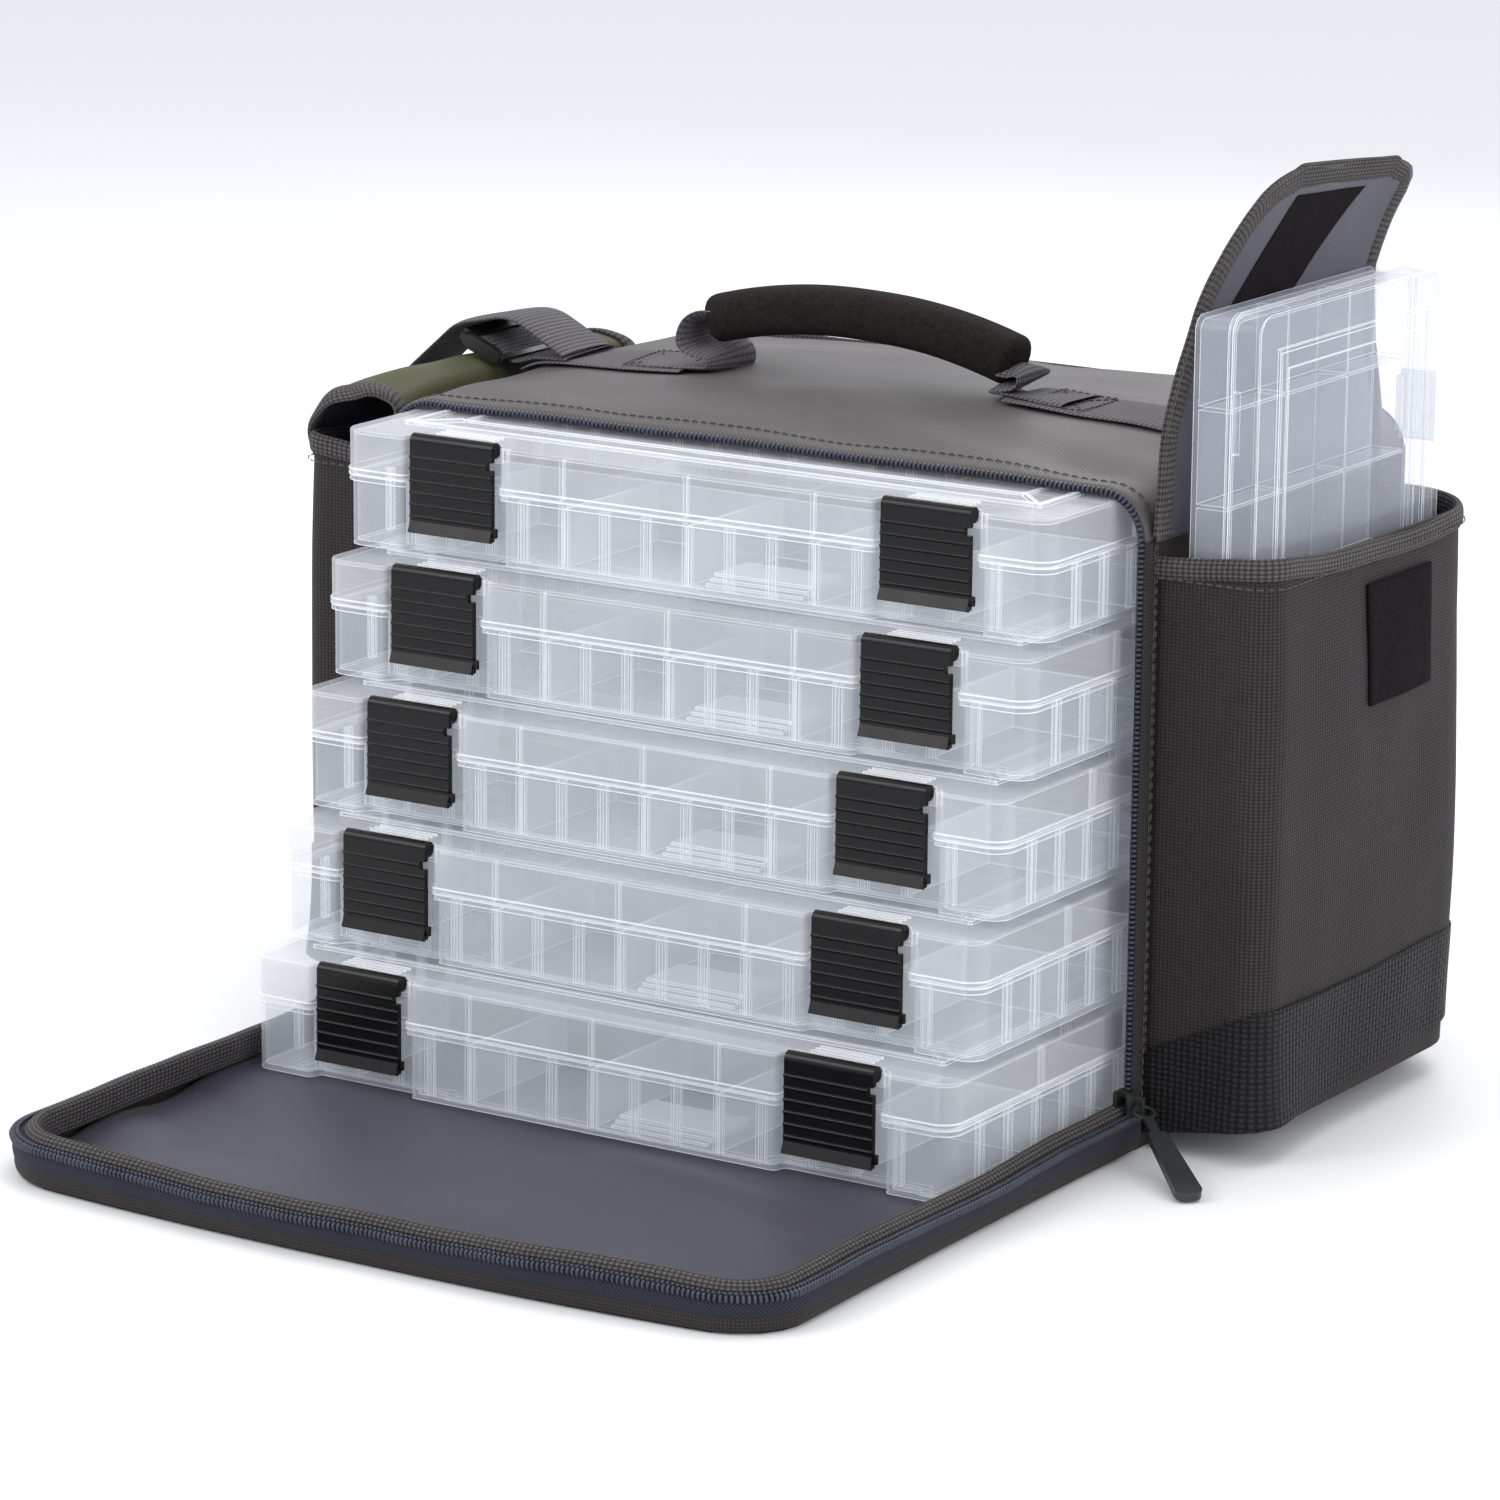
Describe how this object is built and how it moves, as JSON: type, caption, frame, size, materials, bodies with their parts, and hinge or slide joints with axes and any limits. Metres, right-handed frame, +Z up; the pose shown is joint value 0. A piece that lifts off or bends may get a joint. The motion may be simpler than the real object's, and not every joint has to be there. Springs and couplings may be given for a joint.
{
  "type": "tackle backpack",
  "caption": "Soft fishing tackle bag with drop-down zipped front, slide-out latched tackle boxes, side pockets with fold-over flaps, foam grip handle and strap.",
  "frame": {"origin": "middle of the flat base of the bag, on the floor", "axes": "+Z up, the open front faces -Y, the pocket with the open flap is at +X"},
  "size_m": [0.5069, 0.5269, 0.4115],
  "materials": {
    "shell_fabric": "coated plain-weave polyester, dark brown grey",
    "top_fabric": "coated twill, lighter brown grey",
    "pocket_fabric": "coarse basket weave, dark brown grey",
    "base_webbing": "heavy ballistic weave, black",
    "binding": "ribbed webbing tape, brown grey",
    "webbing": "flat woven webbing, grey",
    "lining": "smooth lining cloth, blue grey",
    "flap_fabric": "ribbed cloth, olive outside and blue grey inside",
    "zip_tape": "woven tape with moulded coil teeth, dark navy",
    "hook_and_loop": "fuzzy touch fastener, black",
    "foam": "closed-cell foam, matt black",
    "soft_rubber": "moulded rubber, satin black",
    "slider_metal": "painted zinc, dark grey green",
    "black_plastic": "glossy moulded plastic, black",
    "clear_plastic": "milky translucent polypropylene"
  },
  "bodies": {
    "bag": {"bag_shell": "shell_fabric", "bag_top": "top_fabric", "bag_back": "shell_fabric", "zip_bag_half": "zip_tape", "top_webbing": "webbing", "pocket_right": "pocket_fabric", "pocket_base_right": "base_webbing", "pocket_binding_right": "binding", "loop_patch_right": "hook_and_loop", "pocket_left": "pocket_fabric", "pocket_base_left": "base_webbing", "pocket_binding_left": "binding", "loop_patch_left": "hook_and_loop"},
    "door": {"door_panel": "lining", "door_gusset": "shell_fabric", "zip_door_half": "zip_tape", "door_binding": "binding"},
    "zip_slider": {"zip_slider": "slider_metal"},
    "zip_pull": {"zip_pull": "soft_rubber"},
    "handle": {"handle_grip": "foam", "handle_loops": "webbing"},
    "flap_root_right": {"flap_root_right": "flap_fabric"},
    "flap_tip_right": {"flap_tip_right": "flap_fabric", "flap_binding_right": "binding", "hook_strip_right": "hook_and_loop"},
    "flap_root_left": {"flap_root_left": "flap_fabric", "strap_webbing": "webbing", "ladder_lock": "black_plastic"},
    "flap_tip_left": {"flap_tip_left": "flap_fabric", "flap_binding_left": "binding", "hook_strip_left": "hook_and_loop"},
    "small_box": {"small_tray": "clear_plastic", "small_lid": "clear_plastic"},
    "small_latch_upper": {"small_latch_upper": "clear_plastic"},
    "small_latch_lower": {"small_latch_lower": "clear_plastic"},
    "box_1": {"box_1_tray": "clear_plastic", "box_1_lid": "clear_plastic", "box_1_dividers": "clear_plastic"},
    "box_1_latch_left": {"box_1_latch_left": "black_plastic"},
    "box_1_latch_right": {"box_1_latch_right": "black_plastic"},
    "box_2": {"box_2_tray": "clear_plastic", "box_2_lid": "clear_plastic", "box_2_dividers": "clear_plastic"},
    "box_2_latch_left": {"box_2_latch_left": "black_plastic"},
    "box_2_latch_right": {"box_2_latch_right": "black_plastic"},
    "box_3": {"box_3_tray": "clear_plastic", "box_3_lid": "clear_plastic", "box_3_dividers": "clear_plastic"},
    "box_3_latch_left": {"box_3_latch_left": "black_plastic"},
    "box_3_latch_right": {"box_3_latch_right": "black_plastic"},
    "box_4": {"box_4_tray": "clear_plastic", "box_4_lid": "clear_plastic", "box_4_dividers": "clear_plastic"},
    "box_4_latch_left": {"box_4_latch_left": "black_plastic"},
    "box_4_latch_right": {"box_4_latch_right": "black_plastic"},
    "box_5": {"box_5_tray": "clear_plastic", "box_5_lid": "clear_plastic", "box_5_dividers": "clear_plastic"},
    "box_5_latch_left": {"box_5_latch_left": "black_plastic"},
    "box_5_latch_right": {"box_5_latch_right": "black_plastic"}
  },
  "joints": [
    {"name": "door_hinge", "type": "hinge", "parent": "bag", "child": "door", "pos_m": [0, -0.1339, 0.009], "axis": [-1, 0, 0], "range_deg": [0, 90], "deforming": ["door_panel"]},
    {"name": "box_1_slide", "type": "slide", "parent": "bag", "child": "box_1", "axis": [0, 1, 0], "range_m": [0, 0.0552]},
    {"name": "box_2_slide", "type": "slide", "parent": "bag", "child": "box_2", "axis": [0, 1, 0], "range_m": [0, 0.0692]},
    {"name": "box_3_slide", "type": "slide", "parent": "bag", "child": "box_3", "axis": [0, 1, 0], "range_m": [0, 0.0872]},
    {"name": "box_4_slide", "type": "slide", "parent": "bag", "child": "box_4", "axis": [0, 1, 0], "range_m": [0, 0.1052]},
    {"name": "box_5_slide", "type": "slide", "parent": "bag", "child": "box_5", "axis": [0, 1, 0], "range_m": [0, 0.1252]},
    {"name": "latch_1_left_hinge", "type": "hinge", "parent": "box_1", "child": "box_1_latch_left", "pos_m": [-0.119, -0.1696, 0.2762], "axis": [1, 0, 0], "range_deg": [-110, 0]},
    {"name": "latch_1_right_hinge", "type": "hinge", "parent": "box_1", "child": "box_1_latch_right", "pos_m": [0.119, -0.1696, 0.2762], "axis": [1, 0, 0], "range_deg": [-110, 0]},
    {"name": "latch_2_left_hinge", "type": "hinge", "parent": "box_2", "child": "box_2_latch_left", "pos_m": [-0.119, -0.1836, 0.221], "axis": [1, 0, 0], "range_deg": [-110, 0]},
    {"name": "latch_2_right_hinge", "type": "hinge", "parent": "box_2", "child": "box_2_latch_right", "pos_m": [0.119, -0.1836, 0.221], "axis": [1, 0, 0], "range_deg": [-110, 0]},
    {"name": "latch_3_left_hinge", "type": "hinge", "parent": "box_3", "child": "box_3_latch_left", "pos_m": [-0.119, -0.2016, 0.1658], "axis": [1, 0, 0], "range_deg": [-110, 0]},
    {"name": "latch_3_right_hinge", "type": "hinge", "parent": "box_3", "child": "box_3_latch_right", "pos_m": [0.119, -0.2016, 0.1658], "axis": [1, 0, 0], "range_deg": [-110, 0]},
    {"name": "latch_4_left_hinge", "type": "hinge", "parent": "box_4", "child": "box_4_latch_left", "pos_m": [-0.119, -0.2196, 0.1106], "axis": [1, 0, 0], "range_deg": [-110, 0]},
    {"name": "latch_4_right_hinge", "type": "hinge", "parent": "box_4", "child": "box_4_latch_right", "pos_m": [0.119, -0.2196, 0.1106], "axis": [1, 0, 0], "range_deg": [-110, 0]},
    {"name": "latch_5_left_hinge", "type": "hinge", "parent": "box_5", "child": "box_5_latch_left", "pos_m": [-0.119, -0.2396, 0.0554], "axis": [1, 0, 0], "range_deg": [-110, 0]},
    {"name": "latch_5_right_hinge", "type": "hinge", "parent": "box_5", "child": "box_5_latch_right", "pos_m": [0.119, -0.2396, 0.0554], "axis": [1, 0, 0], "range_deg": [-110, 0]},
    {"name": "flap_right_hinge", "type": "hinge", "parent": "bag", "child": "flap_root_right", "pos_m": [0.1925, -0.008, 0.262], "axis": [0, 1, 0], "range_deg": [0, 90], "deforming": ["flap_root_right", "flap_tip_right", "flap_binding_right", "hook_strip_right"]},
    {"name": "flap_right_fold", "type": "hinge", "parent": "flap_root_right", "child": "flap_tip_right", "pos_m": [0.19425, -0.008, 0.32], "axis": [0, 1, 0], "range_deg": [0, 77.1]},
    {"name": "small_box_slide", "type": "slide", "parent": "bag", "child": "small_box", "axis": [0, 0, -1], "range_m": [0, 0.1252]},
    {"name": "flap_left_hinge", "type": "hinge", "parent": "bag", "child": "flap_root_left", "pos_m": [-0.1925, -0.008, 0.262], "axis": [0, -1, 0], "range_deg": [-24, 0], "deforming": ["flap_root_left", "flap_tip_left", "flap_binding_left", "hook_strip_left", "strap_webbing"]},
    {"name": "flap_left_fold", "type": "hinge", "parent": "flap_root_left", "child": "flap_tip_left", "pos_m": [-0.2505, -0.008, 0.26025], "axis": [0, -1, 0], "range_deg": [-22.2, 0]},
    {"name": "small_latch_upper_hinge", "type": "hinge", "parent": "small_box", "child": "small_latch_upper", "pos_m": [0.232, 0.0643, 0.296], "axis": [0, 0, 1], "range_deg": [-65, 0]},
    {"name": "small_latch_lower_hinge", "type": "hinge", "parent": "small_box", "child": "small_latch_lower", "pos_m": [0.232, 0.0643, 0.215], "axis": [0, 0, 1], "range_deg": [-65, 0]},
    {"name": "handle_swing", "type": "hinge", "parent": "bag", "child": "handle", "pos_m": [-0.008, -0.005, 0.2875], "axis": [1, 0, 0], "range_deg": [-60, 60], "deforming": ["handle_loops"]},
    {"name": "front_zip_slide", "type": "slide", "parent": "bag", "child": "zip_slider", "axis": [0, 0, 1], "range_m": [0, 0.235]},
    {"name": "front_zip_pull_hinge", "type": "hinge", "parent": "zip_slider", "child": "zip_pull", "pos_m": [0.199, -0.1209, 0.0214], "axis": [0, 0, 1], "range_deg": [-30, 40]}
  ],
  "couplings": [
    {"joint": "box_1_slide", "follows": "door_hinge", "m_per_rad": 0.035014},
    {"joint": "box_2_slide", "follows": "door_hinge", "m_per_rad": 0.043927},
    {"joint": "box_3_slide", "follows": "door_hinge", "m_per_rad": 0.055386},
    {"joint": "box_4_slide", "follows": "door_hinge", "m_per_rad": 0.066845},
    {"joint": "box_5_slide", "follows": "door_hinge", "m_per_rad": 0.079577},
    {"joint": "flap_right_fold", "follows": "flap_right_hinge", "ratio": 0.85556},
    {"joint": "small_box_slide", "follows": "flap_right_hinge", "m_per_rad": 0.079577},
    {"joint": "flap_left_fold", "follows": "flap_left_hinge", "ratio": 0.92222}
  ]
}
